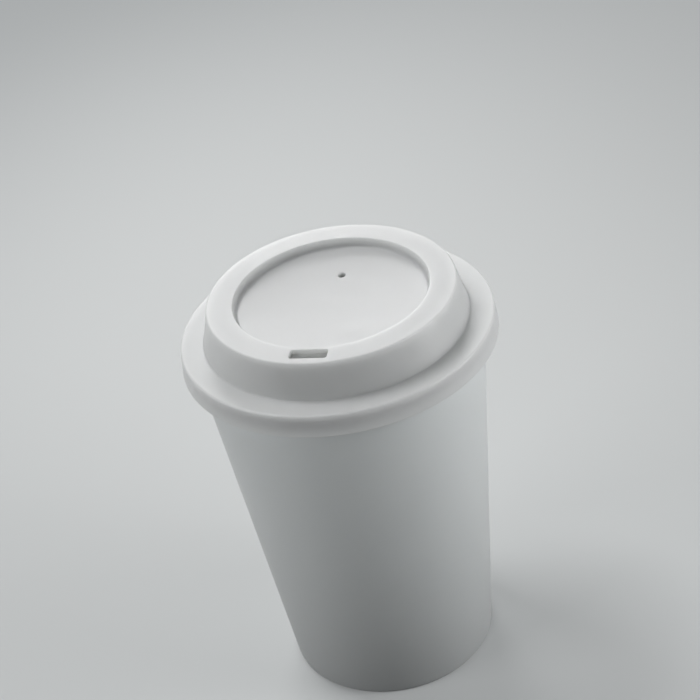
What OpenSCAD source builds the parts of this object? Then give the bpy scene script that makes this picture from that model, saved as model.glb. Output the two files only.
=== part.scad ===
// Double-walled plastic cup with a push-on drinking lid.
// Millimetres. The cup stands on z = 0, centred on the Z axis, with its sip slot towards -Y.

/* [Cup] */
// Height of the rim above the table, without the lid
cup_h = 118.2; // [105:0.1:130]
// Outer radius of the tapered wall at the foot
foot_r = 32.3; // [31:0.1:33.5]
// Outer radius of the tapered wall just under the rim
mouth_r = 43.1; // [42:0.1:44.5]
// Thickness of the outer cup's wall
shell_wall = 1.6; // [1.4:0.1:1.9]
// Thickness of the inner cup's wall
liner_wall = 1.5; // [1.3:0.1:1.7]
// Air space between the two walls, square to the axis
air_gap = 2.3; // [1.8:0.1:3]

/* [Foot] */
// Width of the ring that the cup stands on, with its outer rounding
foot_ring_w = 3.4; // [3:0.1:4.5]
// Depth of the hollow under the foot
foot_recess = 1.6; // [1.2:0.1:2.4]
// Thickness of the outer cup's base
base_t = 1.9; // [1.6:0.1:2.5]
// Air space between the two bases
base_gap = 4.2; // [3:0.1:6]

/* [Rim] */
// Thickness of the flange that lies on the outer cup's wall
rim_t = 1.7; // [1.5:0.1:2]
// Thickness of the lip that hangs outside the outer cup's wall
lip_t = 1.7; // [1.5:0.1:1.9]
// Height of the plain mouth below the lid's sealing ring, before the inner cup steps in
mouth_spare = 4.3; // [3.5:0.1:6]

/* [Lid] */
// Thickness of the lid's wall
lid_wall = 1.8; // [1.6:0.1:1.9]
// Height of the skirt, from its lower edge to the flat shoulder
skirt_h = 6.8; // [6.3:0.1:7.2]
// Radius that the skirt's outer face loses from its lower edge up to the shoulder
skirt_lean = 0.7; // [0.4:0.1:0.9]
// Height of the raised crown above the shoulder
crown_h = 10.8; // [9:0.1:12]
// Radius that the crown's leaning wall loses over its height
crown_lean = 2.7; // [2:0.1:3.4]
// Width of the flat drinking ledge around the crown's top
ledge_w = 7.7; // [7.4:0.1:8.4]
// Depth of the recess inside the ledge
recess_depth = 2.9; // [2.4:0.1:3.6]
// Radius that the recess loses over its depth
recess_lean = 0.6; // [0.4:0.1:1.2]
// Depth of the dished recess floor at its middle, below its edge
recess_dish = 1.7; // [1.2:0.1:2.2]
// Depth of the sealing ring under the shoulder
plug_h = 5.4; // [4.5:0.1:6]

/* [Openings] */
// Width of the sip slot along the ledge
slot_w = 10.8; // [9:0.1:12]
// Width of the sip slot across the ledge
slot_d = 4.1; // [3.6:0.1:4.2]
// Distance of the sip slot from the crown's outer edge
slot_inset = 2.65; // [2.5:0.05:2.8]
// Corner radius of the sip slot
slot_corner = 0.9; // [0.6:0.1:1.4]
// Diameter of the round vent
vent_d = 2.3; // [1.6:0.1:2.8]
// Distance of the vent from the axis
vent_offset = 14.4; // [10:0.2:18]

/* [Fits] */
// Clearance between the lid and the rim, on the radius
lid_gap = 0.3; // [0.3:0.05:0.4]
// Clearance between the inner and outer cup where they are joined, on the radius
joint_gap = 0.1; // [0.08:0.01:0.15]

/* [Hidden] */

$fn = 180;
ARC_STEPS = 6;
DISH_STEPS = 10;
FILLET_SHARE = 0.49;
OVERCUT = 1;
CUP_WHITE = [0.93, 0.94, 0.94];
LINER_WHITE = [0.95, 0.95, 0.94];
LID_WHITE = [0.95, 0.96, 0.96];

// Heights, from the foot up
shell_floor_z = foot_recess + base_t;
liner_under_z = shell_floor_z + base_gap;
liner_floor_z = liner_under_z + liner_wall;
shell_top_z = cup_h - rim_t;
plug_low_z = cup_h - plug_h;
neck_h = 3.2;
neck_top_z = plug_low_z - mouth_spare;
neck_low_z = neck_top_z - neck_h;

// Heights of the lid, from the rim up
shoulder_z = cup_h + lid_wall;
crown_z = shoulder_z + crown_h;
recess_z = crown_z - recess_depth;
skirt_low_z = shoulder_z - skirt_h;
lip_cover = 1.2;
lip_low_z = skirt_low_z + lip_cover;

// Radii of the rim and of the lid around it
lip_bore_r = mouth_r + joint_gap;
rim_r = lip_bore_r + lip_t;
skirt_bore_r = rim_r + lid_gap;
skirt_r = skirt_bore_r + lid_wall;
skirt_top_r = skirt_r - skirt_lean;

// Radii of the crown, from the shoulder inwards
plug_t = 1.6;
crown_inset = 0.6;
crown_r = mouth_r - shell_wall - joint_gap - liner_wall - crown_inset;
crown_top_r = crown_r - crown_lean;
recess_r = crown_top_r - ledge_w;
recess_floor_r = recess_r - recess_lean;
recess_wall = 1.1;
recess_t = 1.5;
slot_centre_r = crown_top_r - slot_inset - slot_d / 2;

// Small details of the foot
gate_r = 1.8;
gate_h = 0.5;
gate_lean = 0.4;
foot_lean = 0.3;

// Fillet radii
foot_fillet = 1.4;
foot_inner_fillet = 0.5;
shell_floor_fillet = 2.5;
liner_floor_fillet = 5;
neck_fillet = 3;
rim_fillet = 1.5;
lip_fillet = 0.7;
lip_bore_fillet = 0.4;
skirt_top_fillet = 0.6;
skirt_low_fillet = 0.35;
skirt_bore_fillet = 0.5;
crown_base_fillet = 0.5;
crown_inner_fillet = 2.4;
crown_edge_fillet = 0.5;
recess_edge_fillet = 0.3;
recess_base_fillet = 0.8;
recess_back_fillet = 0.15;
plug_fillet = 0.7;
lid_inner_fillet = 0.9;

// Outer radius of the outer cup's wall at a height
function shell_r(z) = foot_r + (mouth_r - foot_r) * z / shell_top_z;

// Outer radius of the inner cup in the mouth, where it lies against the outer cup
function mouth_liner_r(z) = shell_r(z) - shell_wall - joint_gap;

// Inner radius of the mouth at a height
function bore_r(z) = mouth_liner_r(z) - liner_wall;

// Outer radius of the inner cup below its neck, behind the air space
function liner_r(z) = shell_r(z) - shell_wall - air_gap;

// Outer radius of the lid's sealing ring, which follows the mouth
function plug_r(z) = bore_r(z) - lid_gap;

// Thickness across the radius of a wall that leans by run over rise
function across(thickness, run, rise) = thickness * norm([run, rise]) / rise;

// Distance of the dished floor below its edge at a radius, on a parabola
function dish_drop(r) = recess_dish * (1 - pow(r / recess_floor_r, 2));

// Corners of a dished floor whose edge lies at edge_z, at the given steps from the axis outwards
function dish(edge_z, steps) =
    [for (i = steps)
        let (r = recess_floor_r * i / DISH_STEPS)
        [r, edge_z - dish_drop(r), 0]];

function unit(v) = v / norm(v);

// Angle from 180 below zero to 180 above it
function signed_angle(a) = a - 360 * round(a / 360);

// Points of the arc that rounds corner b, between a and c, with no more radius than its sides leave room for
function corner_arc(a, b, c, wanted) =
    let (
        to_a = unit(a - b),
        to_c = unit(c - b),
        half = acos(to_a * to_c) / 2,
        room = FILLET_SHARE * min(norm(a - b), norm(c - b)),
        radius = min(wanted, room * tan(half)),
        centre = b + unit(to_a + to_c) * radius / sin(half),
        first = b + to_a * radius / tan(half) - centre,
        last = b + to_c * radius / tan(half) - centre,
        start = atan2(first.y, first.x),
        sweep = signed_angle(atan2(last.y, last.x) - start)
    )
    [for (i = [0 : ARC_STEPS])
        let (angle = start + sweep * i / ARC_STEPS)
        centre + radius * [cos(angle), sin(angle)]];

// An outline from corners of the form [x, y, fillet radius]
function filleted(corners) =
    [for (i = [0 : len(corners) - 1])
        let (
            n = len(corners),
            before = corners[(i + n - 1) % n],
            here = corners[i],
            after = corners[(i + 1) % n],
            a = [before.x, before.y],
            b = [here.x, here.y],
            c = [after.x, after.y]
        )
        each (here.z > 0 ? corner_arc(a, b, c, here.z) : [b])];

// A solid of revolution from corners of the form [radius, height, fillet radius]
module turned(corners) {
    rotate_extrude()
        polygon(filleted(corners));
}

// Outer cup: one moulding with a closed, hollow foot
module outer_shell() {
    color(CUP_WHITE)
        turned([
            [0, foot_recess - gate_h, 0],
            [gate_r, foot_recess - gate_h, 0],
            [gate_r + gate_lean, foot_recess, 0],
            [foot_r - foot_ring_w - foot_lean, foot_recess, foot_inner_fillet],
            [foot_r - foot_ring_w, 0, foot_inner_fillet],
            [foot_r, 0, foot_fillet],
            [shell_r(shell_top_z), shell_top_z, 0],
            [shell_r(shell_top_z) - shell_wall, shell_top_z, 0],
            [shell_r(shell_floor_z) - shell_wall, shell_floor_z, shell_floor_fillet],
            [0, shell_floor_z, 0],
        ]);
}

// Inner cup: its flange lies on the outer cup's wall and its lip hangs outside it
module inner_liner() {
    color(LINER_WHITE)
        turned([
            [0, liner_under_z, 0],
            [liner_r(liner_under_z), liner_under_z, liner_floor_fillet + liner_wall],
            [liner_r(neck_low_z), neck_low_z, neck_fillet],
            [mouth_liner_r(neck_top_z), neck_top_z, neck_fillet],
            [mouth_liner_r(shell_top_z), shell_top_z, 0],
            [lip_bore_r, shell_top_z, 0],
            [lip_bore_r, lip_low_z, lip_bore_fillet],
            [rim_r, lip_low_z, lip_fillet],
            [rim_r, cup_h, rim_fillet],
            [bore_r(cup_h), cup_h, rim_fillet],
            [bore_r(neck_top_z), neck_top_z, neck_fillet],
            [liner_r(neck_low_z) - liner_wall, neck_low_z, neck_fillet],
            [liner_r(liner_floor_z) - liner_wall, liner_floor_z, liner_floor_fillet],
            [0, liner_floor_z, 0],
        ]);
}

// The lid before it is pierced: skirt, shoulder, crown, recess and sealing ring in one wall
module lid_moulding() {
    crown_wall = across(lid_wall, crown_lean, crown_h);
    recess_back = across(recess_wall, recess_lean, recess_depth);
    recess_slope = recess_lean / recess_depth;
    ledge_under_z = crown_z - lid_wall;
    recess_under_z = recess_z - recess_t;
    crown_slope = crown_lean / crown_h;
    turned([
        each dish(recess_z, [0 : DISH_STEPS - 1]),
        [recess_floor_r, recess_z, recess_base_fillet],
        [recess_r, crown_z, recess_edge_fillet],
        [crown_top_r, crown_z, crown_edge_fillet],
        [crown_r, shoulder_z, crown_base_fillet],
        [skirt_top_r, shoulder_z, skirt_top_fillet],
        [skirt_r, skirt_low_z, skirt_low_fillet],
        [skirt_bore_r, skirt_low_z, skirt_low_fillet],
        [skirt_bore_r, cup_h, skirt_bore_fillet],
        [plug_r(cup_h), cup_h, skirt_bore_fillet],
        [plug_r(plug_low_z), plug_low_z, plug_fillet],
        [plug_r(plug_low_z) - plug_t, plug_low_z, plug_fillet],
        [crown_r - crown_wall, shoulder_z, crown_inner_fillet],
        [crown_top_r - crown_wall + crown_slope * lid_wall, ledge_under_z, lid_inner_fillet],
        [recess_r + recess_back - recess_slope * lid_wall, ledge_under_z, recess_back_fillet],
        [recess_floor_r + recess_back - recess_slope * recess_t, recess_under_z, lid_inner_fillet],
        each dish(recess_under_z, [DISH_STEPS - 1 : -1 : 0]),
    ]);
}

// Slot to drink through, cut straight down through the ledge
module sip_slot() {
    translate([0, -slot_centre_r, recess_z])
        linear_extrude(height = recess_depth + OVERCUT)
            polygon(filleted([
                [slot_w / 2, slot_d / 2, slot_corner],
                [-slot_w / 2, slot_d / 2, slot_corner],
                [-slot_w / 2, -slot_d / 2, slot_corner],
                [slot_w / 2, -slot_d / 2, slot_corner],
            ]));
}

// Small hole that lets air in as the cup is drunk from
module vent() {
    vent_low_z = recess_z - recess_dish - recess_t - OVERCUT;
    translate([0, vent_offset, vent_low_z])
        cylinder(d = vent_d, h = recess_z + OVERCUT - vent_low_z);
}

module lid() {
    color(LID_WHITE)
        difference() {
            lid_moulding();
            sip_slot();
            vent();
        }
}

outer_shell();
inner_liner();
lid();
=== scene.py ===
"""Looks of a reusable double-walled plastic cup with a push-on drinking lid.

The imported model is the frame. Each visible piece is a turned surface worked out on a grid, with
the section of its solid and finely rounded edges, and the lid's two openings are tubes that join
its upper and lower skins. All lengths are in metres.
"""

import logging
import math
from dataclasses import dataclass, field
from enum import Enum

import bpy
import numpy as np
from mathutils import Matrix, Vector


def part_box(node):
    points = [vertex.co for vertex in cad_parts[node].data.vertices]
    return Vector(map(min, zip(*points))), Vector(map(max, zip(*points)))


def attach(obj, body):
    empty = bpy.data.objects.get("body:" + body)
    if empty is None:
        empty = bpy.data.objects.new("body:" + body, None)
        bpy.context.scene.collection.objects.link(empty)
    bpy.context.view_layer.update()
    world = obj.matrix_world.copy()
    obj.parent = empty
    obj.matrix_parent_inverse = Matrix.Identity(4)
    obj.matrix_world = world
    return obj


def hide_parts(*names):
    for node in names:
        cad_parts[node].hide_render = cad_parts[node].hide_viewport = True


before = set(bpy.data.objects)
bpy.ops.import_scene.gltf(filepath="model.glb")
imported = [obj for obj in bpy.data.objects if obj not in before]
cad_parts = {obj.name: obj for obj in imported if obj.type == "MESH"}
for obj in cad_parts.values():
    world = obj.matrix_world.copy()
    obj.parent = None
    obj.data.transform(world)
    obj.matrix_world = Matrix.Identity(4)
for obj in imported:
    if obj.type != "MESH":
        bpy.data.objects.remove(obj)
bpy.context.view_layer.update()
MM = 0.001
LOG = logging.getLogger("cup")


class Node(Enum):
    """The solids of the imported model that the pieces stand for."""

    SHELL = "outer_shell"
    LINER = "inner_liner"
    LID = "lid"


class Body(Enum):
    """The rigid bodies that the pieces ride on."""

    CUP = "cup"
    LID = "lid"


class Slot(Enum):
    """The record's material slots."""

    SHELL = "shell_plastic"
    LINER = "liner_plastic"
    LID = "lid_plastic"


class Edge(Enum):
    """The patches of the lid's outline in which its openings lie."""

    SLOT_TOP = "slot_top"
    SLOT_UNDER = "slot_under"
    VENT_TOP = "vent_top"
    VENT_UNDER = "vent_under"


def frame_box(node: Node) -> tuple[np.ndarray, np.ndarray]:
    """Gives a solid's box, rounded to the hundredth of a millimetre.

    Args:
        node: The solid to measure.

    Returns:
        The lowest and the highest corner.
    """
    low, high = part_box(node.value)
    return np.round(np.array(low), 5), np.round(np.array(high), 5)


# Turned sections


@dataclass(frozen=True)
class Corner:
    """One corner of a section, with the arc that rounds it.

    Attributes:
        radius: Distance from the axis.
        height: Height above the floor.
        fillet: Radius of the arc, or 0 on the axis.
        stops: Radii at which the straight after this corner gets a ring of its own.
        mark: The patch under which the rings of those stops are found again.
    """

    radius: float
    height: float
    fillet: float = 0.0
    stops: tuple[float, ...] = ()
    mark: Edge | None = None

    @property
    def point(self) -> np.ndarray:
        """The corner as an array of radius and height."""
        return np.array([self.radius, self.height])


@dataclass(frozen=True)
class Section:
    """The outline of a piece from the axis over the top, round and back to the axis.

    Attributes:
        corners: The corners in order. The first and the last lie on the axis.
        arc_step: Largest turn of the outline between two points of an arc, in degrees.
        arc_points: Least number of straights that an arc is made of.
        straight_step: Largest distance between two points of a straight.
        edge_band: Distance of the ring that keeps a flat's shading flat beside an arc.
        edge_share: Largest share of a straight that this distance may be.
        edge_room: Room kept free beside that ring, in its own distances.
        stop_room: Room kept free beside the stops, as a share of their distance.
    """

    corners: tuple[Corner, ...]
    arc_step: float = 7.5
    arc_points: int = 3
    straight_step: float = 4 * MM
    edge_band: float = 0.18 * MM
    edge_share: float = 0.25
    edge_room: float = 1.5
    stop_room: float = 0.3

    def arc(self, index: int) -> np.ndarray:
        """Gives the points of the arc that rounds one corner.

        The centre lies on the bisector at radius over sine of the half angle, and the points are
        centre plus radius times the cosine and sine of angles spread evenly over the turn.

        Args:
            index: Which corner.

        Returns:
            An array of radius and height, one row a point.
        """
        here = self.corners[index]
        if here.fillet <= 0:
            return here.point[None, :]
        to_before = self.corners[index - 1].point - here.point
        to_after = self.corners[index + 1].point - here.point
        to_before = to_before / np.linalg.norm(to_before)
        to_after = to_after / np.linalg.norm(to_after)
        half = math.acos(np.clip(to_before @ to_after, -1, 1)) / 2
        bisector = to_before + to_after
        centre = here.point + bisector / np.linalg.norm(bisector) * here.fillet / math.sin(half)
        first = here.point + to_before * here.fillet / math.tan(half) - centre
        last = here.point + to_after * here.fillet / math.tan(half) - centre
        start = math.atan2(first[1], first[0])
        sweep = math.remainder(math.atan2(last[1], last[0]) - start, 2 * math.pi)
        count = max(self.arc_points, math.ceil(abs(math.degrees(sweep)) / self.arc_step))
        angles = start + sweep * np.linspace(0, 1, count + 1)
        return centre + here.fillet * np.column_stack([np.cos(angles), np.sin(angles)])

    def straight(self, start: np.ndarray, end: np.ndarray, stops: tuple[float, ...]) -> np.ndarray:
        """Gives the points between two arcs, without the ends.

        They are start plus share times the way to the end, with shares spread evenly, one close
        to each end, and one at each stop in place of the even ones there.

        Args:
            start: Where the last arc ends.
            end: Where the next arc starts.
            stops: Radii that get a point each, in the order in which they are passed.

        Returns:
            An array of radius and height, one row a point.
        """
        way = end - start
        length = np.linalg.norm(way)
        band = min(self.edge_band / length, self.edge_share)
        count = max(1, math.ceil(length / self.straight_step))
        shares = np.linspace(0, 1, count + 1)[1:-1]
        shares = shares[(shares > self.edge_room * band) & (shares < 1 - self.edge_room * band)]
        shares = np.concatenate([[band], shares, [1 - band]])
        if stops:
            fixed = (np.array(stops) - start[0]) / way[0]
            room = self.stop_room * (fixed[1] - fixed[0])
            outside = (shares < fixed[0] - room) | (shares > fixed[-1] + room)
            shares = np.sort(np.concatenate([shares[outside], fixed]))
        return start + shares[:, None] * way

    def trace(self) -> tuple[np.ndarray, dict[Edge, np.ndarray]]:
        """Works out the whole outline: arc, straight, arc and so on.

        The point at a stop is the one of its straight whose radius is nearest to the stop's.

        Returns:
            The points, one row of radius and height each, and for each mark the numbers of the
            points at its stops.
        """
        arcs = [self.arc(index) for index in range(len(self.corners))]
        runs = [arcs[0]]
        marks: dict[Edge, np.ndarray] = {}
        for corner, arc, following in zip(self.corners, arcs, arcs[1:]):
            between = self.straight(arc[-1], following[0], corner.stops)
            if corner.mark:
                away = np.abs(np.array(corner.stops)[:, None] - between[:, 0])
                marks[corner.mark] = sum(len(run) for run in runs) + away.argmin(axis=1)
            runs += [between, following]
        return np.concatenate(runs), marks


@dataclass
class Skin:
    """A closed mesh held as arrays while it is worked out.

    Attributes:
        points: Coordinates, one row a vertex.
        quads: Vertex numbers of the four-sided faces.
        triangles: Vertex numbers of the three-sided faces at the poles.
    """

    points: np.ndarray
    quads: np.ndarray
    triangles: np.ndarray

    def make(self, name: str) -> bpy.types.Object:
        """Puts the arrays into a smooth-shaded object at the origin.

        Args:
            name: Name of the piece.

        Returns:
            The new object.
        """
        corners = np.concatenate([self.quads.ravel(), self.triangles.ravel()])
        sizes = np.repeat([4, 3], [len(self.quads), len(self.triangles)])
        starts = np.concatenate([[0], np.cumsum(sizes)[:-1]])
        mesh = bpy.data.meshes.new(name)
        mesh.vertices.add(len(self.points))
        mesh.vertices.foreach_set("co", self.points.astype(np.float32).ravel())
        mesh.loops.add(len(corners))
        mesh.loops.foreach_set("vertex_index", corners.astype(np.int32))
        mesh.polygons.add(len(sizes))
        mesh.polygons.foreach_set("loop_start", starts.astype(np.int32))
        mesh.polygons.foreach_set("use_smooth", np.ones(len(sizes), dtype=bool))
        mesh.update(calc_edges=True)
        mesh.validate()
        made = bpy.data.objects.new(name, mesh)
        bpy.context.scene.collection.objects.link(made)
        return made


@dataclass
class Turned:
    """A section turned round the Z axis.

    Attributes:
        section: The outline.
        turns: Number of meridians.
        outline: The outline's points, one row of radius and height each.
        marks: The numbers of the points at the stops of each mark.
    """

    section: Section
    turns: int = 192
    outline: np.ndarray = field(init=False)
    marks: dict[Edge, np.ndarray] = field(init=False)

    def __post_init__(self) -> None:
        """Traces the section once."""
        self.outline, self.marks = self.section.trace()

    def vertex(self, ring: np.ndarray, meridian: np.ndarray) -> np.ndarray:
        """Gives the vertex numbers of grid places: 1 + (ring - 1) x turns + meridian."""
        return 1 + (ring - 1) * self.turns + meridian % self.turns

    def skin(self, windows: tuple["Window", ...] = ()) -> Skin:
        """Works out the closed skin.

        A point of ring i on meridian j is radius i times the cosine and sine of j turns' share of
        a circle, at height i. The first and the last point of the outline are single vertices.

        Args:
            windows: Parts of the grid that are left open for a tube.

        Returns:
            The skin.
        """
        radius, height = self.outline[1:-1].T
        angle = 2 * math.pi * np.arange(self.turns) / self.turns
        grid = np.stack(
            [
                radius[:, None] * np.cos(angle),
                radius[:, None] * np.sin(angle),
                np.broadcast_to(height[:, None], (len(height), self.turns)),
            ],
            axis=-1,
        ).reshape(-1, 3)
        poles = np.array([[0, 0, self.outline[0, 1]], [0, 0, self.outline[-1, 1]]])
        points = np.concatenate([poles[:1], grid, poles[1:]])
        ring, meridian = np.meshgrid(
            np.arange(1, len(self.outline) - 2), np.arange(self.turns), indexing="ij"
        )
        keep = np.ones(ring.shape, dtype=bool)
        for window in windows:
            keep &= ~window.covers(ring, meridian)
        ring, meridian = ring[keep], meridian[keep]
        quads = np.column_stack(
            [
                self.vertex(ring, meridian),
                self.vertex(ring + 1, meridian),
                self.vertex(ring + 1, meridian + 1),
                self.vertex(ring, meridian + 1),
            ]
        )
        around = np.arange(self.turns)
        last_ring = len(self.outline) - 2
        first_cap = np.column_stack(
            [np.zeros_like(around), self.vertex(1, around), self.vertex(1, around + 1)]
        )
        last_cap = np.column_stack(
            [
                self.vertex(last_ring, around),
                np.full_like(around, len(points) - 1),
                self.vertex(last_ring, around + 1),
            ]
        )
        return Skin(points, quads, np.concatenate([first_cap, last_cap]))


# Openings through a turned wall


@dataclass(frozen=True)
class Window:
    """A patch of a turned grid that is left open, bounded by rings and meridians.

    Attributes:
        rings: Ring numbers from the axis outwards.
        meridians: Meridian numbers, counted anticlockwise from above.
    """

    rings: np.ndarray
    meridians: np.ndarray

    def covers(self, ring: np.ndarray, meridian: np.ndarray) -> np.ndarray:
        """Says which faces of the grid the window leaves open.

        Args:
            ring: Ring numbers of the faces' inner sides.
            meridian: Meridian numbers of the faces' first sides.

        Returns:
            True for each face inside the window.
        """
        in_rings = (ring >= self.rings.min()) & (ring < self.rings.max())
        in_turn = (meridian >= self.meridians[0]) & (meridian < self.meridians[-1])
        return in_rings & in_turn

    def edge(self, turned: Turned) -> np.ndarray:
        """Gives the vertices round the window, clockwise from above.

        Args:
            turned: The grid that the window is in.

        Returns:
            Vertex numbers from the corner at the last meridian and the innermost ring: outwards,
            back along the turn, inwards, and on along the turn.
        """
        inner, outer = self.rings[0], self.rings[-1]
        first, last = self.meridians[0], self.meridians[-1]
        return np.concatenate(
            [
                turned.vertex(self.rings[:-1], last),
                turned.vertex(outer, self.meridians[:0:-1]),
                turned.vertex(self.rings[:0:-1], first),
                turned.vertex(inner, self.meridians[:-1]),
            ]
        )


@dataclass(frozen=True)
class Hole:
    """A straight hole with rounded edges through a flat part of a turned wall.

    Attributes:
        centre_radius: Distance of its middle from the axis.
        bearing: Direction of its middle seen from the axis, in degrees from +X.
        width: Size across the direction to the axis.
        depth: Size along the direction to the axis.
        corner: Radius of its corners, half the width for a round hole.
        top_edge: Rounding of its upper edge.
        under_edge: Rounding of its lower edge.
        corner_steps: Points of half a corner.
        spread_steps: Rings of faces between the window and the hole.
        edge_steps: Rings of faces in the rounding of an edge.
    """

    centre_radius: float
    bearing: float
    width: float
    depth: float
    corner: float
    top_edge: float
    under_edge: float
    corner_steps: int = 5
    spread_steps: int = 4
    edge_steps: int = 6

    def outline(self, growth: float, along: int, across: int) -> np.ndarray:
        """Works out the hole's outline, clockwise from above, grown by a distance.

        A point is the centre of a corner's arc plus the corner's radius and the growth times the
        cosine and sine of an angle. Along an arc the angle runs on, and along a straight the
        centre does.

        Args:
            growth: Distance that the outline is grown by.
            along: Number of points on each side that runs away from the axis.
            across: Number of points on each side that runs along the turn.

        Returns:
            Points in the model's X and Y, one row each.
        """
        round_hole = self.corner * 2 >= min(self.width, self.depth)
        knots, angles, sides, ends = [], [], [], []
        begin = 0
        for side, count in enumerate((along, across, along, across)):
            steps = count / 2 if round_hole else self.corner_steps
            knots += [begin, begin + steps, begin + count - steps, begin + count]
            angles += [90 * side - 45, 90 * side, 90 * side, 90 * side + 45]
            turn = np.radians(90 * side + np.array([-45, -45, 45, 45]))
            sides += list(np.sign(np.cos(turn)))
            ends += list(np.sign(np.sin(turn)))
            begin += count
        where = np.arange(begin)
        angle = np.radians(np.interp(where, knots, angles))
        reach = self.corner + growth
        sideways = np.interp(where, knots, sides) * (self.width / 2 - self.corner)
        outwards = np.interp(where, knots, ends) * (self.depth / 2 - self.corner)
        sideways = sideways + reach * np.cos(angle)
        outwards = outwards + reach * np.sin(angle) + self.centre_radius
        bearing = math.radians(self.bearing)
        away = np.array([math.cos(bearing), math.sin(bearing)])
        turnwise = np.array([-math.sin(bearing), math.cos(bearing)])
        return outwards[:, None] * away + sideways[:, None] * turnwise

    def pierce(self, turned: Turned, skin: Skin, upper: Window, lower: Window) -> Skin:
        """Joins two windows of a skin by the tube of this hole.

        The tube is a profile carried round the outline: flat rings that shrink from the window to
        the hole, a quarter round, the straight wall, a quarter round, and flat rings again.

        Args:
            turned: The grid of the skin.
            skin: The skin with both windows left open.
            upper: The window in the upper skin.
            lower: The window in the lower skin.

        Returns:
            The skin with the hole.
        """
        along, across = len(upper.rings) - 1, len(upper.meridians) - 1
        edge_top, edge_under = upper.edge(turned), lower.edge(turned)
        top_z, under_z = skin.points[edge_top[0], 2], skin.points[edge_under[0], 2]
        shares = np.linspace(0, 1, self.spread_steps + 1)[1:-1, None, None]
        quarter = np.linspace(0, math.pi / 2, self.edge_steps + 1)
        grown_top = self.outline(self.top_edge, along, across)
        grown_under = self.outline(self.under_edge, along, across)
        rings = [
            self._flat((1 - shares) * skin.points[edge_top, :2] + shares * grown_top, top_z),
            *(
                self._flat(
                    self.outline(self.top_edge * (1 - math.sin(turn)), along, across)[None],
                    top_z - self.top_edge * (1 - math.cos(turn)),
                )
                for turn in quarter
            ),
            *(
                self._flat(
                    self.outline(self.under_edge * (1 - math.sin(turn)), along, across)[None],
                    under_z + self.under_edge * (1 - math.cos(turn)),
                )
                for turn in quarter[::-1]
            ),
            self._flat(
                (1 - shares[::-1]) * skin.points[edge_under, :2] + shares[::-1] * grown_under,
                under_z,
            ),
        ]
        tube = np.concatenate(rings)
        count = along * 2 + across * 2
        fresh = len(skin.points) + np.arange(len(tube) * count).reshape(-1, count)
        levels = np.concatenate([edge_top[None], fresh, edge_under[None]])
        here, below = levels[:-1], levels[1:]
        quads = np.stack(
            [here, below, np.roll(below, -1, axis=1), np.roll(here, -1, axis=1)], axis=-1
        )
        return Skin(
            np.concatenate([skin.points, tube.reshape(-1, 3)]),
            np.concatenate([skin.quads, quads.reshape(-1, 4)]),
            skin.triangles,
        )

    @staticmethod
    def _flat(plan: np.ndarray, height: float) -> np.ndarray:
        """Puts rings of plan points at one height."""
        return np.concatenate([plan, np.full((*plan.shape[:2], 1), height)], axis=-1)


# Shader maths


@dataclass(frozen=True)
class Value:
    """A number in a shader, whose operators add Math nodes."""

    graph: "Graph"
    socket: bpy.types.NodeSocket

    def math(self, operation: str, *others: "Value | float") -> "Value":
        """Adds one Math node that starts from this value.

        Args:
            operation: Blender's name of the operation.
            others: The other operands.

        Returns:
            The result.
        """
        inputs = {index: other for index, other in enumerate((self, *others))}
        node = self.graph.add("ShaderNodeMath", {"operation": operation}, inputs)
        return Value(self.graph, node.outputs[0])

    def __add__(self, other: "Value | float") -> "Value":
        """Adds."""
        return self.math("ADD", other)

    __radd__ = __add__

    def __mul__(self, other: "Value | float") -> "Value":
        """Multiplies."""
        return self.math("MULTIPLY", other)

    __rmul__ = __mul__

    def __sub__(self, other: "Value | float") -> "Value":
        """Subtracts."""
        return self.math("SUBTRACT", other)

    def __rsub__(self, other: float) -> "Value":
        """Subtracts this value from a number."""
        return self.math("MULTIPLY", -1.0).math("ADD", other)

    def __truediv__(self, other: "Value | float") -> "Value":
        """Divides."""
        return self.math("DIVIDE", other)

    def __pow__(self, other: float) -> "Value":
        """Raises to a power."""
        return self.math("POWER", other)


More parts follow.
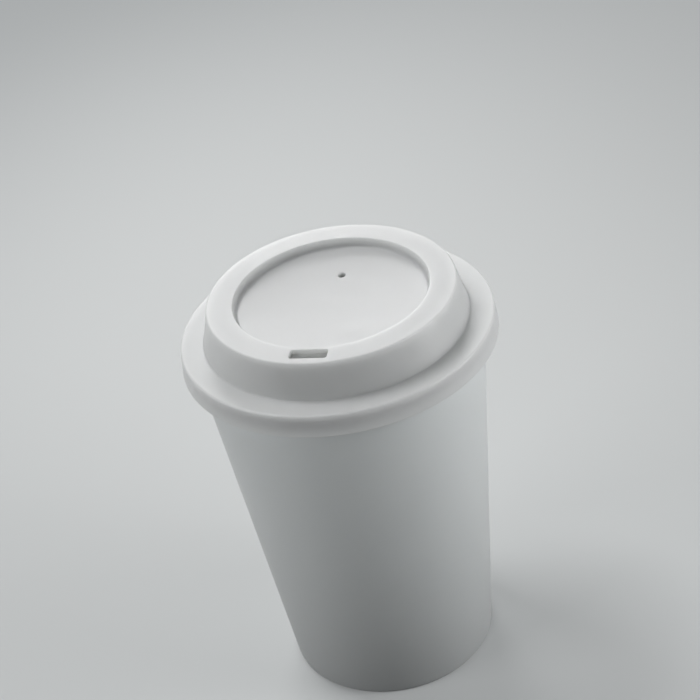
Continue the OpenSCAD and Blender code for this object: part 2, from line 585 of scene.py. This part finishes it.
class Graph:
    """The nodes of one material or world."""

    def __init__(self, owner: bpy.types.Material | bpy.types.World) -> None:
        """Empties the node tree.

        Args:
            owner: The material or world that the nodes belong to.
        """
        self.owner = owner
        owner.use_nodes = True
        owner.node_tree.nodes.clear()

    def add(
        self,
        kind: str,
        settings: dict[str, object] | None = None,
        inputs: dict[str | int, object] | None = None,
    ) -> bpy.types.Node:
        """Adds one node.

        Args:
            kind: Blender's type of the node.
            settings: Properties to set first.
            inputs: Numbers, vectors, sockets or values for its sockets, by name or number.

        Returns:
            The node.
        """
        tree = self.owner.node_tree
        node = tree.nodes.new(kind)
        for name, setting in (settings or {}).items():
            setattr(node, name, setting)
        for name, given in (inputs or {}).items():
            socket = node.inputs[name]
            if isinstance(given, Value):
                tree.links.new(given.socket, socket)
            elif isinstance(given, bpy.types.NodeSocket):
                tree.links.new(given, socket)
            else:
                socket.default_value = given
        return node

    def place(self) -> tuple[bpy.types.NodeSocket, Value, Value, Value]:
        """Gives the place on the piece in metres.

        Returns:
            The vector and its three numbers.
        """
        where = self.add("ShaderNodeTexCoord").outputs["Object"]
        axes = self.add("ShaderNodeSeparateXYZ", inputs={"Vector": where}).outputs
        return where, *(Value(self, axis) for axis in axes)

    def noise(self, where: bpy.types.NodeSocket, size: float, detail: float) -> Value:
        """Gives smooth noise from 0 to 1 whose features are about so large.

        Args:
            where: Coordinates in metres.
            size: Size of a feature in metres.
            detail: How many finer layers lie over it.

        Returns:
            The noise.
        """
        inputs = {"Vector": where, "Scale": 1 / size, "Detail": detail}
        return Value(self, self.add("ShaderNodeTexNoise", inputs=inputs).outputs["Fac"])

    def blend_colours(
        self,
        share: Value,
        first: tuple | bpy.types.NodeSocket,
        second: tuple | bpy.types.NodeSocket,
    ) -> bpy.types.NodeSocket:
        """Mixes two colours.

        Args:
            share: How much of the second colour.
            first: Red, green and blue at share 0, or a colour socket.
            second: Red, green and blue at share 1, or a colour socket.

        Returns:
            The colour socket.
        """
        settings = {"data_type": "RGBA", "clamp_factor": True}
        inputs = {0: share, 6: self._opaque(first), 7: self._opaque(second)}
        return self.add("ShaderNodeMix", settings, inputs).outputs[2]

    @staticmethod
    def _opaque(colour: tuple | bpy.types.NodeSocket) -> object:
        """Gives a written colour its alpha and leaves a socket as it is."""
        return (*colour, 1) if isinstance(colour, tuple) else colour


def flat_length(x: Value, y: Value) -> Value:
    """Length of a flat vector, the root of the sum of the squares."""
    return (x * x + y * y) ** 0.5


# Finishes

NOISE_MEAN = 0.5


@dataclass(frozen=True)
class SatinPlastic:
    """White moulded polypropylene with the fine grain that an eroded mould leaves.

    Attributes:
        name: Name of the material.
        pale: Colour of the lighter patches.
        deep: Colour of the slightly deeper patches.
        gloss: Mean roughness.
        gloss_spread: How far the roughness strays with the flow of the melt.
        grain: Size of the grain.
        grain_height: Height of the grain.
        ring_height: Height of the tool's turning marks.
        ring_pitch: Distance between two turning marks.
        sink: Size of a swell of the broad unevenness from shrinkage.
        sink_height: Height of that unevenness.
        cloud: Size of the broad patches that the flow of the melt leaves.
        patch: Size of the finer ones.
        shares: Shares of the broad patches, the finer ones and the grain in the colour.
        glow: Share of light that travels inside the wall.
        glow_reach: How far it travels.
        glow_tint: How far its red, green and blue travel beside that.
        bend: Refractive index of the plastic.
    """

    name: str
    pale: tuple[float, float, float]
    deep: tuple[float, float, float]
    gloss: float
    gloss_spread: float
    grain: float
    grain_height: float
    ring_height: float
    ring_pitch: float
    sink_height: float
    sink: float = 22 * MM
    cloud: float = 28 * MM
    patch: float = 7 * MM
    shares: tuple[float, float, float] = (0.6, 0.25, 0.15)
    glow: float = 1.0
    glow_reach: float = 1.2 * MM
    glow_tint: tuple[float, float, float] = (1.0, 1.0, 0.97)
    bend: float = 1.49

    def build(self) -> bpy.types.Material:
        """Makes the material.

        The colour follows soft noise by its shares, and the roughness strays from its mean with
        three noises less their own means. The turning marks are noise that changes only away
        from the axis and upwards, and the height of the relief is a sum of noises.

        Returns:
            The material.
        """
        graph = Graph(bpy.data.materials.new(self.name))
        where, x, y, z = graph.place()
        section = graph.add("ShaderNodeCombineXYZ", inputs={"X": flat_length(x, y), "Y": z})
        rings = graph.noise(section.outputs["Vector"], self.ring_pitch, detail=3.0)
        cloud = graph.noise(where, self.cloud, detail=3.0)
        patch = graph.noise(where, self.patch, detail=2.0)
        grain = graph.noise(where, self.grain, detail=1.0)
        sink = graph.noise(where, self.sink, detail=0.0)
        cloud_share, patch_share, grain_share = self.shares
        shade = cloud_share * cloud + patch_share * patch + grain_share * grain
        rough = self.gloss + self.gloss_spread * (cloud + patch + rings - 3 * NOISE_MEAN)
        relief = self.grain_height * grain + self.ring_height * rings + self.sink_height * sink
        bump = graph.add(
            "ShaderNodeBump", inputs={"Strength": 1.0, "Distance": 1.0, "Height": relief}
        )
        surface = graph.add(
            "ShaderNodeBsdfPrincipled",
            inputs={
                "Base Color": graph.blend_colours(shade, self.deep, self.pale),
                "Roughness": rough,
                "IOR": self.bend,
                "Subsurface Weight": self.glow,
                "Subsurface Radius": self.glow_tint,
                "Subsurface Scale": self.glow_reach,
                "Normal": bump.outputs["Normal"],
            },
        )
        graph.add("ShaderNodeOutputMaterial", inputs={"Surface": surface.outputs["BSDF"]})
        return graph.owner


SHELL_FINISH = SatinPlastic(
    name="shell_satin_plastic",
    pale=(0.79, 0.82, 0.82),
    deep=(0.76, 0.79, 0.795),
    gloss=0.46,
    gloss_spread=0.10,
    grain=0.45 * MM,
    grain_height=0.006 * MM,
    ring_height=0.002 * MM,
    ring_pitch=0.9 * MM,
    sink_height=0.03 * MM,
)
LINER_FINISH = SatinPlastic(
    name="liner_smooth_plastic",
    pale=(0.80, 0.825, 0.82),
    deep=(0.77, 0.795, 0.79),
    gloss=0.34,
    gloss_spread=0.08,
    grain=0.6 * MM,
    grain_height=0.002 * MM,
    ring_height=0.004 * MM,
    ring_pitch=0.7 * MM,
    sink_height=0.03 * MM,
)
LID_FINISH = SatinPlastic(
    name="lid_satin_plastic",
    pale=(0.815, 0.84, 0.83),
    deep=(0.785, 0.81, 0.80),
    gloss=0.38,
    gloss_spread=0.10,
    grain=0.40 * MM,
    grain_height=0.005 * MM,
    ring_height=0.002 * MM,
    ring_pitch=0.8 * MM,
    sink_height=0.02 * MM,
    glow_reach=6.0 * MM,
)


def dress(
    piece: bpy.types.Object, finish: SatinPlastic, body: Body, node: Node
) -> bpy.types.Object:
    """Gives a piece its finish and its place in the frame.

    Args:
        piece: The object.
        finish: Its finish.
        body: The body that it rides on.
        node: The solid that it stands for.

    Returns:
        The same object.
    """
    piece.data.materials.append(finish.build())
    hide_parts(node.value)
    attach(piece, body.value)
    LOG.info("%s: %d faces, on %s", piece.name, len(piece.data.polygons), body.value)
    return piece


# The cup


@dataclass
class OuterCup:
    """The outer cup: a straight tapered wall on a hollow foot.

    Attributes:
        foot_radius: Outer radius of the wall at the floor.
        wall: Thickness of the wall.
        base: Thickness of the base.
        hollow: Depth of the hollow under the foot.
        ring_width: Width of the ring that the cup stands on.
        ring_lean: Radius that the hollow loses over its depth.
        gate_radius: Radius of the gate nib in the middle of the hollow.
        gate_height: How far the nib stands out.
        gate_lean: Radius that the nib gains towards the base.
        floor_fillet: Rounding where the wall meets the inner floor.
        foot_fillet: Rounding of the foot's outer edge.
        ring_fillet: Rounding of the foot ring on its inside.
        fine_edge: Rounding of the mouth and the nib.
    """

    foot_radius: float = 32.3 * MM
    wall: float = 1.6 * MM
    base: float = 1.9 * MM
    hollow: float = 1.6 * MM
    ring_width: float = 3.4 * MM
    ring_lean: float = 0.3 * MM
    gate_radius: float = 1.8 * MM
    gate_height: float = 0.5 * MM
    gate_lean: float = 0.4 * MM
    floor_fillet: float = 2.5 * MM
    foot_fillet: float = 1.4 * MM
    ring_fillet: float = 0.5 * MM
    fine_edge: float = 0.15 * MM

    def __post_init__(self) -> None:
        """Takes the height and the mouth from the frame."""
        _, high = frame_box(Node.SHELL)
        self.top = float(high[2])
        self.mouth_radius = float(high[0])

    def radius(self, height: float) -> float:
        """Outer radius of the wall at a height, on a straight line from foot to mouth."""
        return self.foot_radius + (self.mouth_radius - self.foot_radius) * height / self.top

    def section(self) -> Section:
        """Gives the outline from the inner floor over the wall to the gate under the foot.

        Returns:
            The outline.
        """
        floor = self.hollow + self.base
        gate_z = self.hollow - self.gate_height
        ring_inner = self.foot_radius - self.ring_width
        return Section(
            (
                Corner(0, floor),
                Corner(self.radius(floor) - self.wall, floor, self.floor_fillet),
                Corner(self.radius(self.top) - self.wall, self.top, self.fine_edge),
                Corner(self.radius(self.top), self.top, self.fine_edge),
                Corner(self.foot_radius, 0, self.foot_fillet),
                Corner(ring_inner, 0, self.ring_fillet),
                Corner(ring_inner - self.ring_lean, self.hollow, self.ring_fillet),
                Corner(self.gate_radius + self.gate_lean, self.hollow, self.fine_edge),
                Corner(self.gate_radius, gate_z, self.fine_edge),
                Corner(0, gate_z),
            )
        )

    def build(self) -> bpy.types.Object:
        """Builds and dresses the outer cup."""
        piece = Turned(self.section()).skin().make("outer_cup")
        return dress(piece, SHELL_FINISH, Body.CUP, Node.SHELL)


@dataclass
class InnerCup:
    """The inner cup, whose rim lies on the outer wall and turns down outside it.

    Attributes:
        outer: The outer cup that it hangs in.
        wall: Thickness of the wall.
        air: Air space between the walls below the neck.
        joint: Clearance between the walls in the mouth and under the lip.
        lip_height: Height of the lip with the flange.
        neck_drop: Distance from the rim down to the neck.
        neck: Height of the neck.
        rim_fillet: Rounding of the rim.
        neck_fillet: Rounding above and below the neck.
        floor_fillet: Rounding of the drinking floor.
        lip_edge: Rounding of the lip's outer lower edge.
        lip_inner_edge: Rounding of its inner lower edge.
        seat_edge: Rounding in the corner between the lip and the flange.
        step_edge: Rounding where the flange meets the wall in the mouth.
    """

    outer: OuterCup
    wall: float = 1.5 * MM
    air: float = 2.3 * MM
    joint: float = 0.1 * MM
    lip_height: float = 3.8 * MM
    neck_drop: float = 9.7 * MM
    neck: float = 3.2 * MM
    rim_fillet: float = 1.5 * MM
    neck_fillet: float = 3 * MM
    floor_fillet: float = 5 * MM
    lip_edge: float = 0.7 * MM
    lip_inner_edge: float = 0.4 * MM
    seat_edge: float = 0.1 * MM
    step_edge: float = 0.05 * MM

    def __post_init__(self) -> None:
        """Takes the rim and the underside from the frame."""
        low, high = frame_box(Node.LINER)
        self.rim_z = float(high[2])
        self.rim_radius = float(high[0])
        self.under_z = float(low[2])

    def mouth_outside(self, height: float) -> float:
        """Outer radius in the mouth, against the outer wall."""
        return self.outer.radius(height) - self.outer.wall - self.joint

    def below_neck(self, height: float) -> float:
        """Outer radius below the neck, behind the air space."""
        return self.outer.radius(height) - self.outer.wall - self.air

    def bore(self, height: float) -> float:
        """Inner radius of the mouth."""
        return self.mouth_outside(height) - self.wall

    def section(self) -> Section:
        """Gives the outline from the drinking floor over the rim to the underside.

        Returns:
            The outline.
        """
        floor = self.under_z + self.wall
        neck_top = self.rim_z - self.neck_drop
        neck_low = neck_top - self.neck
        lip_low = self.rim_z - self.lip_height
        lip_bore = self.outer.mouth_radius + self.joint
        return Section(
            (
                Corner(0, floor),
                Corner(self.below_neck(floor) - self.wall, floor, self.floor_fillet),
                Corner(self.below_neck(neck_low) - self.wall, neck_low, self.neck_fillet),
                Corner(self.bore(neck_top), neck_top, self.neck_fillet),
                Corner(self.bore(self.rim_z), self.rim_z, self.rim_fillet),
                Corner(self.rim_radius, self.rim_z, self.rim_fillet),
                Corner(self.rim_radius, lip_low, self.lip_edge),
                Corner(lip_bore, lip_low, self.lip_inner_edge),
                Corner(lip_bore, self.outer.top, self.seat_edge),
                Corner(self.mouth_outside(self.outer.top), self.outer.top, self.step_edge),
                Corner(self.mouth_outside(neck_top), neck_top, self.neck_fillet),
                Corner(self.below_neck(neck_low), neck_low, self.neck_fillet),
                Corner(self.below_neck(self.under_z), self.under_z, self.floor_fillet + self.wall),
                Corner(0, self.under_z),
            )
        )

    def build(self) -> bpy.types.Object:
        """Builds and dresses the inner cup."""
        piece = Turned(self.section()).skin().make("inner_cup")
        return dress(piece, LINER_FINISH, Body.CUP, Node.LINER)


# The lid


@dataclass
class DrinkingLid:
    """The push-on lid: skirt, shoulder, crown, drinking ledge, recess and sealing ring.

    Attributes:
        inner: The inner cup that it closes.
        wall: Thickness of the wall.
        skirt_height: Height of the skirt.
        skirt_lean: Radius that the skirt's outer face loses up to the shoulder.
        crown_height: Height of the crown over the shoulder.
        crown_lean: Radius that the crown's wall loses over its height.
        crown_inset: How far the foot of the crown stands inside the mouth.
        ledge: Width of the drinking ledge.
        recess_depth: Depth of the recess.
        recess_lean: Radius that the recess loses over its depth.
        recess_dish: Depth of the dished recess floor at its middle, below its edge.
        recess_wall: Thickness of the recess's wall.
        recess_floor: Thickness of the recess's floor.
        plug_wall: Thickness of the sealing ring.
        clearance: Clearance of the sealing ring in the mouth and of the skirt on the rim.
        slot_width: Width of the sip slot.
        slot_depth: Its size away from the axis.
        slot_corner: Radius of its corners.
        slot_inset: Distance of its outer edge from the ledge's outer edge.
        slot_bearing: Its direction from the axis, in degrees from +X.
        slot_half_turn: Number of meridians on each side of it.
        slot_rings: Number of rings of faces that it is cut into.
        slot_room: Distance from the recess's wall of the patch that it is cut into.
        slot_margin: Distance of that patch from the ledge's outer edge, on top.
        slot_under_margin: The same on the underside, from the crown's inner face.
        vent_width: Width of the round vent.
        vent_offset: Its distance from the axis.
        vent_bearing: Its direction from the axis, in degrees from +X.
        vent_half_turn: Number of meridians on each side of it.
        vent_rings: Number of rings of faces that it is cut into.
        vent_reach: Half the depth of the patch that it is cut into.
        sharp_edge: Rounding of the drinking ledge towards the recess.
        soft_edge: Rounding of the crown's and the seat's edges.
        shoulder_edge: Rounding of the shoulder's outer edge.
        skirt_edge: Rounding of the skirt's lower edges.
        plug_edge: Rounding of the sealing ring.
        floor_edge: Rounding where the recess's wall meets its floor.
        crown_inner_edge: Rounding under the shoulder, inside the crown.
        under_edge: Rounding of the bends on the underside.
        corner_under_ledge: Rounding behind the slot, between ledge and recess.
        turns: Number of meridians.
    """

    inner: InnerCup
    wall: float = 1.8 * MM
    skirt_height: float = 6.8 * MM
    skirt_lean: float = 0.7 * MM
    crown_height: float = 10.8 * MM
    crown_lean: float = 2.7 * MM
    crown_inset: float = 0.6 * MM
    ledge: float = 7.7 * MM
    recess_depth: float = 2.9 * MM
    recess_lean: float = 0.6 * MM
    recess_dish: float = 1.7 * MM
    recess_wall: float = 1.1 * MM
    recess_floor: float = 1.5 * MM
    plug_wall: float = 1.6 * MM
    clearance: float = 0.3 * MM
    slot_width: float = 10.8 * MM
    slot_depth: float = 4.1 * MM
    slot_corner: float = 0.9 * MM
    slot_inset: float = 2.65 * MM
    slot_bearing: float = 270
    slot_half_turn: int = 10
    slot_rings: int = 14
    slot_room: float = 0.2 * MM
    slot_margin: float = 1.1 * MM
    slot_under_margin: float = 0.75 * MM
    vent_width: float = 2.3 * MM
    vent_offset: float = 14.4 * MM
    vent_bearing: float = 90
    vent_half_turn: int = 11
    vent_rings: int = 8
    vent_reach: float = 2.6 * MM
    sharp_edge: float = 0.3 * MM
    soft_edge: float = 0.5 * MM
    shoulder_edge: float = 0.6 * MM
    skirt_edge: float = 0.35 * MM
    plug_edge: float = 0.7 * MM
    floor_edge: float = 0.8 * MM
    crown_inner_edge: float = 2.4 * MM
    under_edge: float = 0.9 * MM
    corner_under_ledge: float = 0.15 * MM
    turns: int = 288

    def __post_init__(self) -> None:
        """Takes the top and the sealing ring's lower edge from the frame."""
        low, high = frame_box(Node.LID)
        self.top = float(high[2])
        self.plug_low = float(low[2])
        self.shoulder = self.top - self.crown_height
        self.crown_radius = self.inner.bore(self.inner.outer.top) - self.crown_inset
        self.ledge_outer = self.crown_radius - self.crown_lean
        self.ledge_inner = self.ledge_outer - self.ledge
        self.recess_radius = self.ledge_inner - self.recess_lean

    def plug(self, height: float) -> float:
        """Outer radius of the sealing ring, which follows the mouth."""
        return self.inner.bore(height) - self.clearance

    def dish_drop(self, radius: np.ndarray) -> np.ndarray:
        """Drop of the recess floor, its depth times one minus the squared share of its radius."""
        return self.recess_dish * np.clip(1 - (radius / self.recess_radius) ** 2, 0, 1)

    def slot(self) -> Hole:
        """Gives the sip slot through the ledge.

        Returns:
            The hole.
        """
        return Hole(
            centre_radius=self.ledge_outer - self.slot_inset - self.slot_depth / 2,
            bearing=self.slot_bearing,
            width=self.slot_width,
            depth=self.slot_depth,
            corner=self.slot_corner,
            top_edge=0.15 * MM,
            under_edge=0.05 * MM,
        )

    def vent(self) -> Hole:
        """Gives the round vent through the floor of the recess.

        Returns:
            The hole.
        """
        return Hole(
            centre_radius=self.vent_offset,
            bearing=self.vent_bearing,
            width=self.vent_width,
            depth=self.vent_width,
            corner=self.vent_width / 2,
            top_edge=0.2 * MM,
            under_edge=0.1 * MM,
        )

    def section(self) -> Section:
        """Gives the outline from the recess floor over the crown to the underside.

        The inner corners are the outer ones set in by the wall's thickness, which on a leaning
        wall is measured along the level: thickness times the length of one and the slope.

        Returns:
            The outline.
        """
        skirt_low = self.shoulder - self.skirt_height
        skirt_bore = self.inner.rim_radius + self.clearance
        skirt_radius = skirt_bore + self.wall
        seat = self.inner.rim_z
        recess_z = self.top - self.recess_depth
        recess_under = recess_z - self.recess_floor
        ledge_under = self.top - self.wall
        crown_slope = self.crown_lean / self.crown_height
        crown_wall = self.wall * math.hypot(1, crown_slope)
        recess_slope = self.recess_lean / self.recess_depth
        recess_back = self.recess_wall * math.hypot(1, recess_slope)
        ledge_back = self.ledge_inner + recess_back - recess_slope * self.wall
        ledge_front = self.ledge_outer - crown_wall + crown_slope * self.wall
        slot_inner = ledge_back + self.slot_room
        slot_outer = self.ledge_outer - self.slot_margin
        slot_under_outer = ledge_front - self.slot_under_margin
        slot_top = tuple(np.linspace(slot_inner, slot_outer, self.slot_rings + 1))
        slot_under = tuple(np.linspace(slot_under_outer, slot_inner, self.slot_rings + 1))
        vent_stops = tuple(
            self.vent_offset + np.linspace(-self.vent_reach, self.vent_reach, self.vent_rings + 1)
        )
        plug_inner = self.plug(self.plug_low) - self.plug_wall
        return Section(
            (
                Corner(0, recess_z, stops=vent_stops, mark=Edge.VENT_TOP),
                Corner(self.recess_radius, recess_z, self.floor_edge),
                Corner(self.ledge_inner, self.top, self.sharp_edge, slot_top, Edge.SLOT_TOP),
                Corner(self.ledge_outer, self.top, self.soft_edge),
                Corner(self.crown_radius, self.shoulder, self.soft_edge),
                Corner(skirt_radius - self.skirt_lean, self.shoulder, self.shoulder_edge),
                Corner(skirt_radius, skirt_low, self.skirt_edge),
                Corner(skirt_bore, skirt_low, self.skirt_edge),
                Corner(skirt_bore, seat, self.soft_edge),
                Corner(self.plug(seat), seat, self.soft_edge),
                Corner(self.plug(self.plug_low), self.plug_low, self.plug_edge),
                Corner(plug_inner, self.plug_low, self.plug_edge),
                Corner(self.crown_radius - crown_wall, self.shoulder, self.crown_inner_edge),
                Corner(ledge_front, ledge_under, self.under_edge, slot_under, Edge.SLOT_UNDER),
                Corner(ledge_back, ledge_under, self.corner_under_ledge),
                Corner(
                    self.recess_radius + recess_back - recess_slope * self.recess_floor,
                    recess_under,
                    self.under_edge,
                    vent_stops[::-1],
                    Edge.VENT_UNDER,
                ),
                Corner(0, recess_under),
            )
        )

    def windows(
        self, turned: Turned, edges: tuple[Edge, Edge], bearing: float, half: int
    ) -> tuple[Window, Window]:
        """Gives the upper and the lower window of a hole.

        Args:
            turned: The grid of the lid.
            edges: The patches of the section that the hole goes through, from above.
            bearing: Direction of the hole in degrees from +X.
            half: Number of meridians on each side of the hole.

        Returns:
            The window above and the window below.
        """
        middle = round(bearing / 360 * self.turns)
        meridians = np.arange(middle - half, middle + half + 1)
        rings_top, rings_under = (turned.marks[edge] for edge in edges)
        return Window(rings_top, meridians), Window(rings_under[::-1], meridians)

    def build(self) -> bpy.types.Object:
        """Builds and dresses the lid, pierced while flat and dished after that.

        Returns:
            The piece.
        """
        turned = Turned(self.section(), self.turns)
        slot_edges, vent_edges = (Edge.SLOT_TOP, Edge.SLOT_UNDER), (Edge.VENT_TOP, Edge.VENT_UNDER)
        slot = self.windows(turned, slot_edges, self.slot_bearing, self.slot_half_turn)
        vent = self.windows(turned, vent_edges, self.vent_bearing, self.vent_half_turn)
        skin = turned.skin((*slot, *vent))
        skin = self.slot().pierce(turned, skin, *slot)
        skin = self.vent().pierce(turned, skin, *vent)
        skin.points[:, 2] -= self.dish_drop(np.hypot(skin.points[:, 0], skin.points[:, 1]))
        return dress(skin.make("drinking_lid"), LID_FINISH, Body.LID, Node.LID)


# Studio


@dataclass(frozen=True)
class PhotoCamera:
    """The camera at the photograph's viewing angle.

    Attributes:
        aim_height: Height of the aimed point on the axis.
        azimuth: Turn round the cup in degrees, 0 looking along +Y.
        elevation: Angle above the horizon in degrees.
        roll: Turn about the line of sight in degrees.
        distance: Distance of the aimed point along the line of sight.
        focal_pixels: Focal length in pixels of the frame.
        frame_pixels: Width of the frame in pixels.
        aim_pixel: Place of the aimed point in the frame.
        sensor_mm: Width of the sensor in millimetres.
        clip: Nearest and farthest distance that is drawn.
    """

    aim_height: float
    azimuth: float = 16.5
    elevation: float = 33.66
    roll: float = -10.70
    distance: float = 509.9 * MM
    focal_pixels: float = 1746.6
    frame_pixels: float = 700
    aim_pixel: tuple[float, float] = (336.2, 320.9)
    sensor_mm: float = 36
    clip: tuple[float, float] = (0.01, 20)

    def build(self) -> bpy.types.Object:
        """Makes the camera and sets it as the scene's.

        It stands back from the aimed point along the line of sight, and then aside and down by
        the aimed point's distance from the middle of the frame over the focal length.

        Returns:
            The camera.
        """
        turn, rise, roll = (math.radians(a) for a in (self.azimuth, self.elevation, self.roll))
        back = Vector(
            (math.sin(turn) * math.cos(rise), -math.cos(turn) * math.cos(rise), math.sin(rise))
        )
        level = Vector((math.cos(turn), math.sin(turn), 0))
        upright = back.cross(level)
        right = math.cos(roll) * level + math.sin(roll) * upright
        up = math.cos(roll) * upright - math.sin(roll) * level
        middle = self.frame_pixels / 2
        aside = (self.aim_pixel[0] - middle) / self.focal_pixels * self.distance
        above = (middle - self.aim_pixel[1]) / self.focal_pixels * self.distance
        place = Vector((0, 0, self.aim_height)) + back * self.distance - right * aside - up * above
        data = bpy.data.cameras.new("photo_camera")
        data.sensor_width = self.sensor_mm
        data.lens = self.sensor_mm * self.focal_pixels / self.frame_pixels
        data.clip_start, data.clip_end = self.clip
        camera = bpy.data.objects.new("photo_camera", data)
        turned = Matrix((right, up, back)).transposed().to_4x4()
        camera.matrix_world = Matrix.Translation(place) @ turned
        bpy.context.scene.collection.objects.link(camera)
        bpy.context.scene.camera = camera
        return camera


@dataclass(frozen=True)
class SoftLamp:
    """A square studio lamp that faces the lid.

    Attributes:
        name: Name of the lamp.
        bearing: Its direction from the cup, in degrees from +X.
        elevation: Its angle above the horizon, in degrees.
        distance: Its distance from the point that it faces.
        side: Length of its sides.
        power: Its power in watts.
        aim_height: Height on the axis of the point that it faces.
    """

    name: str
    bearing: float
    elevation: float
    distance: float
    side: float
    power: float
    aim_height: float = 120 * MM

    def build(self) -> bpy.types.Object:
        """Makes the lamp, which the camera doesn't see.

        Returns:
            The lamp.
        """
        turn, rise = math.radians(self.bearing), math.radians(self.elevation)
        level = math.cos(rise)
        way = Vector((math.cos(turn) * level, math.sin(turn) * level, math.sin(rise)))
        data = bpy.data.lights.new(self.name, "AREA")
        data.shape = "SQUARE"
        data.size = self.side
        data.energy = self.power
        lamp = bpy.data.objects.new(self.name, data)
        lamp.visible_camera = False
        lamp.location = Vector((0, 0, self.aim_height)) + way * self.distance
        lamp.rotation_euler = (-way).to_track_quat("-Z", "Y").to_euler()
        bpy.context.scene.collection.objects.link(lamp)
        return lamp


@dataclass(frozen=True)
class Studio:
    """A plain pale floor under soft lamps, with painted shade in what it throws back near the cup.

    Attributes:
        lamps: The soft lamps.
        floor_reach: Half the side of the floor.
        floor_colour: Colour of the floor where it is seen.
        far_tone: Tone that the floor fades into, and that lies behind it.
        fade_centre: Middle of the part of the floor that isn't faded, behind the cup.
        fade_reach: Distance from there at which the floor has faded.
        bounce_painted_shade: Dark colour that the floor near the cup throws back and doesn't show,
            painted shade that darkens the cup's lower body.
        bounce_far: Colour that the floor farther out throws back.
        bounce_start: Distance from the axis at which the one starts to change into the other.
        bounce_full: Distance from the axis at which it has changed.
        floor_rough: Roughness of the floor.
        world_strength: Strength of the light from all round.
    """

    lamps: tuple[SoftLamp, ...]
    floor_reach: float = 3
    floor_colour: tuple[float, float, float] = (0.81, 0.83, 0.83)
    far_tone: tuple[float, float, float] = (0.40, 0.415, 0.42)
    fade_centre: tuple[float, float] = (-0.05, 0.17)
    fade_reach: float = 0.52
    bounce_painted_shade: tuple[float, float, float] = (0.03, 0.03, 0.03)
    bounce_far: tuple[float, float, float] = (0.94, 0.95, 0.95)
    bounce_start: float = 0.13
    bounce_full: float = 0.18
    floor_rough: float = 0.9
    world_strength: float = 0.05

    def build(self) -> None:
        """Makes the floor, the light from all round and the lamps."""
        reach = self.floor_reach
        mesh = bpy.data.meshes.new("floor")
        corners = [(-reach, -reach, 0), (reach, -reach, 0), (reach, reach, 0), (-reach, reach, 0)]
        mesh.from_pydata(corners, [], [(0, 1, 2, 3)])
        floor = bpy.data.objects.new("floor", mesh)
        floor.data.materials.append(self._floor_material())
        bpy.context.scene.collection.objects.link(floor)
        bpy.context.scene.world = self._world()
        for lamp in self.lamps:
            lamp.build()

    def _world(self) -> bpy.types.World:
        """Makes the even light from all round, which is seen as the far tone.

        Returns:
            The world.
        """
        graph = Graph(bpy.data.worlds.new("studio"))
        light = graph.add(
            "ShaderNodeBackground", inputs={"Color": (1, 1, 1, 1), "Strength": self.world_strength}
        )
        tone = graph.add("ShaderNodeBackground", inputs={"Color": (*self.far_tone, 1)})
        shader = graph.add(
            "ShaderNodeMixShader",
            inputs={0: self._seen(graph), 1: light.outputs[0], 2: tone.outputs[0]},
        )
        graph.add("ShaderNodeOutputWorld", inputs={"Surface": shader.outputs[0]})
        return graph.owner

    def _floor_material(self) -> bpy.types.Material:
        """Makes the matt floor.

        What it throws back goes evenly from the dark near colour, painted shade under the cup that
        the camera doesn't see, to the far colour between two distances from the axis, and where it
        is seen it eases into the far tone round the fade's centre.

        Returns:
            The material.
        """
        graph = Graph(bpy.data.materials.new("pale_floor"))
        seen = self._seen(graph)
        _, x, y, _ = graph.place()
        # Painted shade: near the cup the floor throws back a dark colour that the camera doesn't
        # see, so the cup's body darkens towards its foot.
        spread = (flat_length(x, y) - self.bounce_start) / (self.bounce_full - self.bounce_start)
        bounce = graph.blend_colours(spread, self.bounce_painted_shade, self.bounce_far)
        surface = graph.add(
            "ShaderNodeBsdfPrincipled",
            inputs={
                "Base Color": graph.blend_colours(seen, bounce, self.floor_colour),
                "Roughness": self.floor_rough,
            },
        )
        aside, behind = self.fade_centre
        faded = self._smooth(flat_length(x - aside, y - behind) / self.fade_reach)
        tone = graph.add("ShaderNodeEmission", inputs={"Color": (*self.far_tone, 1)})
        shader = graph.add(
            "ShaderNodeMixShader",
            inputs={0: faded * seen, 1: surface.outputs["BSDF"], 2: tone.outputs[0]},
        )
        graph.add("ShaderNodeOutputMaterial", inputs={"Surface": shader.outputs[0]})
        return graph.owner

    @staticmethod
    def _seen(graph: Graph) -> Value:
        """Gives 1 on rays that the eye follows: straight, mirrored or through something clear.

        Args:
            graph: The nodes that the value is for.

        Returns:
            The sum of the three.
        """
        path = graph.add("ShaderNodeLightPath").outputs
        straight, mirrored, through = (
            Value(graph, path[f"Is {kind} Ray"]) for kind in ("Camera", "Glossy", "Transmission")
        )
        return straight + mirrored + through

    @staticmethod
    def _smooth(share: Value) -> Value:
        """Eases a share in and out, three times its square less twice its cube."""
        held = share.math("MINIMUM", 1.0)
        return held * held * (3.0 - 2.0 * held)


LAMPS = (
    SoftLamp("key", bearing=150, elevation=63, distance=0.85, side=0.30, power=3.30),
    SoftLamp("back", bearing=106, elevation=30, distance=0.80, side=0.25, power=1.05),
    SoftLamp("back_low", bearing=115, elevation=18, distance=0.70, side=0.30, power=0.45),
    SoftLamp("left_low", bearing=214, elevation=18, distance=0.60, side=0.30, power=0.86),
    SoftLamp("right_low", bearing=2, elevation=3, distance=0.50, side=0.20, power=0.60),
    SoftLamp("right_near", bearing=350, elevation=25, distance=0.30, side=0.14, power=0.20),
)


def main() -> None:
    """Builds the cup, the lid and the studio."""
    logging.basicConfig(level=logging.INFO, format="%(name)s: %(message)s")
    bpy.context.scene.view_settings.view_transform = "Standard"
    outer = OuterCup()
    outer.build()
    inner = InnerCup(outer)
    inner.build()
    lid = DrinkingLid(inner)
    lid.build()
    Studio(LAMPS).build()
    PhotoCamera(aim_height=lid.shoulder).build()


if __name__ == "__main__":
    main()
